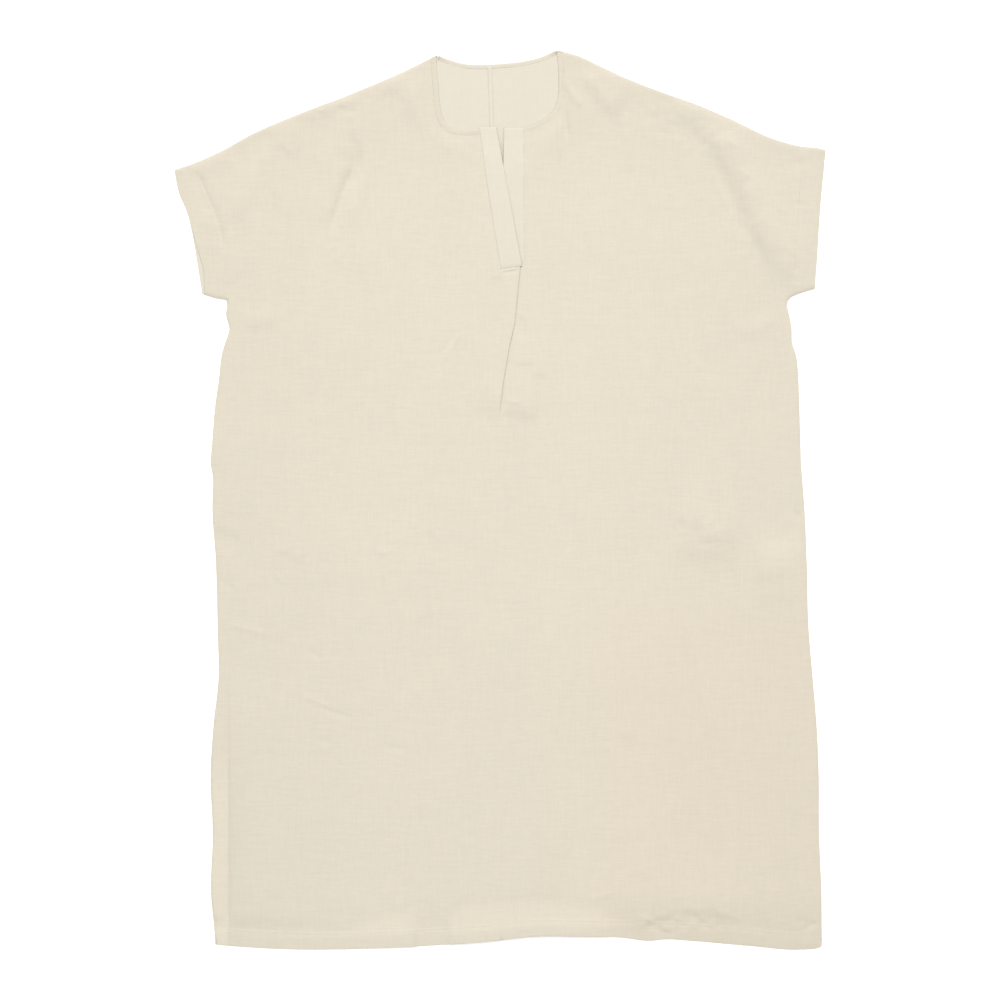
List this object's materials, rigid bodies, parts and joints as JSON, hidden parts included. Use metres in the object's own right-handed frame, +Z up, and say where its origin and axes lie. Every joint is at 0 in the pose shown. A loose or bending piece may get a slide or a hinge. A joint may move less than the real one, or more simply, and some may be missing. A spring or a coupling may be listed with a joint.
{
  "type": "linen pullover poncho dress laid flat",
  "caption": "Wide cream linen pullover poncho dress laid flat, with short cut-on sleeves, a V-slit placket over a knife pleat, and turned hems.",
  "frame": {"origin": "centre of the garment's outline on the surface that it lies on", "axes": "+X across the garment towards the sleeve at the right of the picture, +Y towards the neck, +Z up from the surface"},
  "size_m": [0.7816, 1.0797, 0.0089],
  "materials": {
    "linen": "matt plain-woven linen with slubs, washed and lightly creased",
    "linen_strip": "matt plain-woven linen, pressed smooth, cut along the grain"
  },
  "bodies": {
    "root": {"back_left": "linen", "back_right": "linen", "front": "linen", "placket_over": "linen_strip", "placket_under": "linen_strip", "neck_binding_left": "linen_strip", "neck_binding_right": "linen_strip", "neck_binding_back": "linen_strip"}
  },
  "joints": []
}
